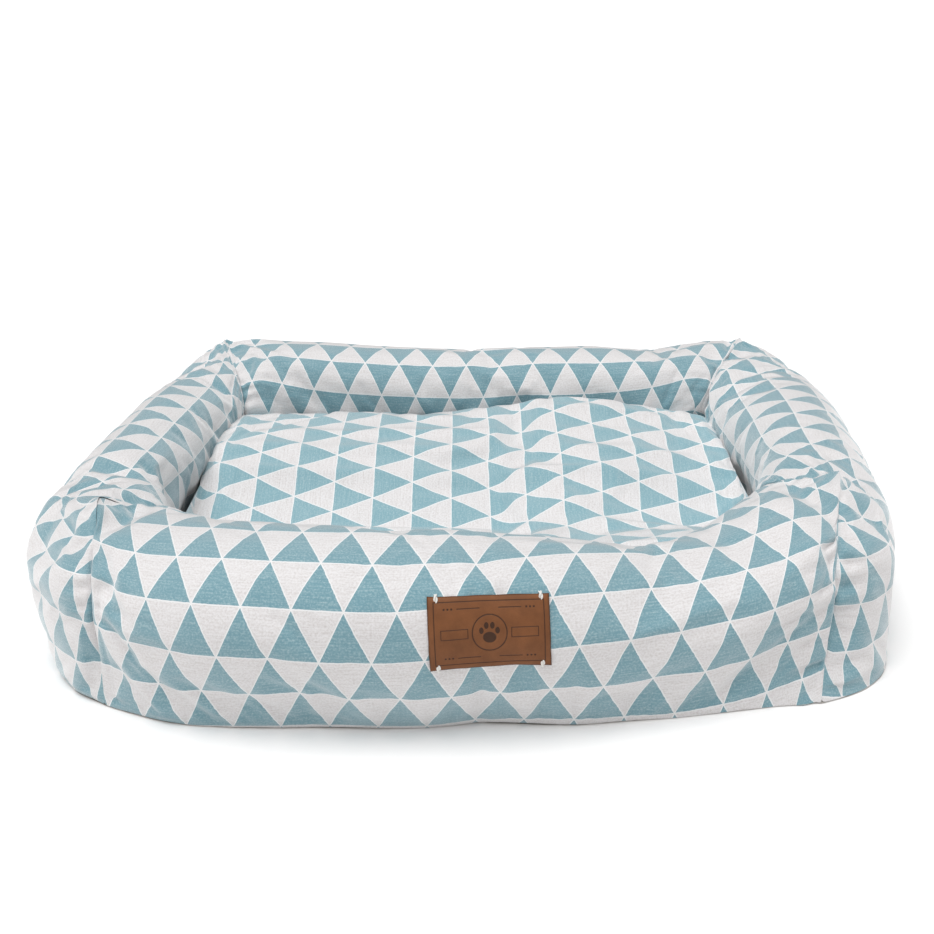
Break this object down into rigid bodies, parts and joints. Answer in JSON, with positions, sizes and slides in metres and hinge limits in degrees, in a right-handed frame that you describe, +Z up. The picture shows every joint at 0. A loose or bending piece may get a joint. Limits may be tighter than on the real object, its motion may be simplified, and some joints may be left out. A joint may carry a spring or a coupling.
{
  "type": "pet cushion bed",
  "caption": "Rectangular pet bed with stuffed fabric walls on every side, a padded base and a loose zipped cushion that lifts out.",
  "frame": {"origin": "on the floor, under the middle of the bed", "axes": "+Z up, -Y towards the front wall with the label, +X to the right seen from the front"},
  "size_m": [0.714, 0.6035, 0.133],
  "materials": {
    "printed_canvas": "linen-look cotton canvas printed with a triangle grid",
    "plain_canvas": "plain woven canvas",
    "fibre_fill": "loose polyester fibre",
    "wadding": "bonded fibre wadding",
    "white_cloth": "thin non-woven cloth",
    "label_leather": "smooth brown leather, darkened border",
    "white_thread": "thick twisted thread",
    "zip_tape": "woven zip tape",
    "zip_coil": "nylon coil",
    "zip_metal": "nickel-plated die casting"
  },
  "bodies": {
    "root": {"front_wall_cover": "printed_canvas", "back_wall_cover": "printed_canvas", "left_wall_cover": "printed_canvas", "right_wall_cover": "printed_canvas", "front_wall_fill": "fibre_fill", "back_wall_fill": "fibre_fill", "left_wall_fill": "fibre_fill", "right_wall_fill": "fibre_fill", "base_bottom_cover": "plain_canvas", "base_pad": "wadding", "base_top_lining": "printed_canvas", "leather_label": "label_leather", "label_stitches": "white_thread"},
    "cushion": {"cushion_top_panel": "printed_canvas", "cushion_bottom_panel": "printed_canvas", "cushion_inner_case": "white_cloth", "cushion_fibre_fill": "fibre_fill", "zip_tape_upper": "zip_tape", "zip_tape_lower": "zip_tape", "zip_coil_upper": "zip_coil", "zip_coil_lower": "zip_coil", "zip_end_stops": "zip_metal"},
    "slider": {"zip_slider": "zip_metal"},
    "pull": {"zip_pull": "zip_metal"}
  },
  "joints": [
    {"name": "cushion_lift", "type": "slide", "parent": "root", "child": "cushion", "axis": [0, 0, 1], "range_m": [0, 0.2]},
    {"name": "zip_run", "type": "slide", "parent": "cushion", "child": "slider", "axis": [1, 0, 0], "range_m": [0, 0.304]},
    {"name": "pull_swing", "type": "hinge", "parent": "slider", "child": "pull", "pos_m": [-0.152, -0.13796, 0.038], "axis": [0, 0, -1], "range_deg": [0, 170]}
  ]
}
